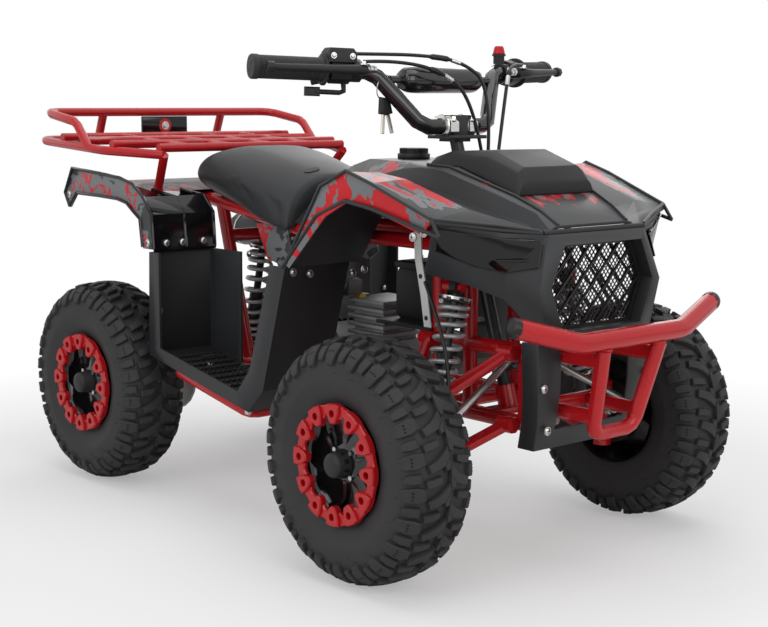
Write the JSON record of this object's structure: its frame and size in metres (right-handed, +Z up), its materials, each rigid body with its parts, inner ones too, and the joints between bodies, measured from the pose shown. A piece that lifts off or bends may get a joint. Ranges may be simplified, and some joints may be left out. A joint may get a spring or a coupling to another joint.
{
  "type": "quad bike",
  "caption": "Small quad bike with faceted front bodywork, padded saddle, tube frame and rack, coil-over front arms, steered front wheels and a driven rear axle",
  "frame": {"origin": "on the floor, below the middle of the whole bike", "axes": "X forward, Y to the rider's left, Z up"},
  "size_m": [1.143, 0.6572, 0.6987],
  "materials": {
    "tyre": "matt",
    "rim_black": "gloss",
    "frame_red": "gloss",
    "black_steel": "satin",
    "bare_steel": "satin",
    "foam_cover": "matt",
    "grip_rubber": "matt",
    "spring_grey": "satin",
    "engine_grey": "satin",
    "body_grey": "matt",
    "gloss_black": "gloss",
    "lamp_lens": "gloss",
    "seat_vinyl": "satin",
    "footwell_plastic": "matt",
    "cable_black": "satin"
  },
  "bodies": {
    "chassis": {"a_arms": "frame_red", "chin_plate": "body_grey", "cowl": "gloss_black", "dampers": "black_steel", "drive_chain": "bare_steel", "engine": "engine_grey", "exhaust": "black_steel", "footwell_left": "footwell_plastic", "footwell_right": "footwell_plastic", "frame": "frame_red", "front_bumper": "frame_red", "front_fender": "body_grey", "fuel_cap": "gloss_black", "grille": "gloss_black", "headlights": "lamp_lens", "nose_mask": "body_grey", "rear_fender": "body_grey", "rear_rack": "frame_red", "seat": "seat_vinyl", "side_panels": "body_grey", "springs": "spring_grey", "swingarm": "frame_red", "tail_panel": "gloss_black"},
    "steering": {"steering_column": "black_steel", "handlebar": "black_steel", "bar_pad": "foam_cover", "grips": "grip_rubber", "hand_controls": "black_steel", "control_cables": "cable_black"},
    "tie_rod_arm_right": {"tie_rod_right": "bare_steel"},
    "tie_rod_arm_left": {"tie_rod_left": "bare_steel"},
    "upright_right": {"knuckle_right": "black_steel", "brake_cable_right": "cable_black"},
    "upright_left": {"knuckle_left": "black_steel", "brake_cable_left": "cable_black"},
    "front_wheel_right": {"tyre_front_right": "tyre", "rim_front_right": "rim_black", "ring_front_right": "frame_red"},
    "front_wheel_left": {"tyre_front_left": "tyre", "rim_front_left": "rim_black", "ring_front_left": "frame_red"},
    "rear_wheels": {"rear_axle": "bare_steel", "rims_rear": "rim_black", "rings_rear": "frame_red", "tyre_rear_right": "tyre", "tyre_rear_left": "tyre"}
  },
  "joints": [
    {"name": "steer", "type": "hinge", "parent": "chassis", "child": "steering", "pos_m": [0.34025, 0, 0.19], "axis": [-0.2936, 0, 0.9559], "range_deg": [-30, 30]},
    {"name": "kingpin_right", "type": "hinge", "parent": "chassis", "child": "upright_right", "pos_m": [0.33625, -0.205, 0.165], "axis": [0, 0, 1], "range_deg": [-26, 26]},
    {"name": "kingpin_left", "type": "hinge", "parent": "chassis", "child": "upright_left", "pos_m": [0.33625, 0.205, 0.165], "axis": [0, 0, 1], "range_deg": [-26, 26]},
    {"name": "tie_rod_eye_right", "type": "hinge", "parent": "steering", "child": "tie_rod_arm_right", "pos_m": [0.36565, -0.022, 0.2776], "axis": [-0.2936, 0, 0.9559], "range_deg": [-34, 34]},
    {"name": "tie_rod_eye_left", "type": "hinge", "parent": "steering", "child": "tie_rod_arm_left", "pos_m": [0.36565, 0.022, 0.2776], "axis": [-0.2936, 0, 0.9559], "range_deg": [-34, 34]},
    {"name": "spin_front_right", "type": "hinge", "parent": "upright_right", "child": "front_wheel_right", "pos_m": [0.33625, -0.2685, 0.165], "axis": [0, 1, 0], "continuous": true},
    {"name": "spin_front_left", "type": "hinge", "parent": "upright_left", "child": "front_wheel_left", "pos_m": [0.33625, 0.2685, 0.165], "axis": [0, 1, 0], "continuous": true},
    {"name": "spin_rear", "type": "hinge", "parent": "chassis", "child": "rear_wheels", "pos_m": [-0.37775, 0, 0.165], "axis": [0, 1, 0], "continuous": true}
  ],
  "couplings": [
    {"joint": "kingpin_right", "follows": "steer", "ratio": 0.845},
    {"joint": "kingpin_left", "follows": "steer", "ratio": 0.845},
    {"joint": "tie_rod_eye_right", "follows": "steer", "ratio": -1.11},
    {"joint": "tie_rod_eye_left", "follows": "steer", "ratio": -1.11}
  ]
}
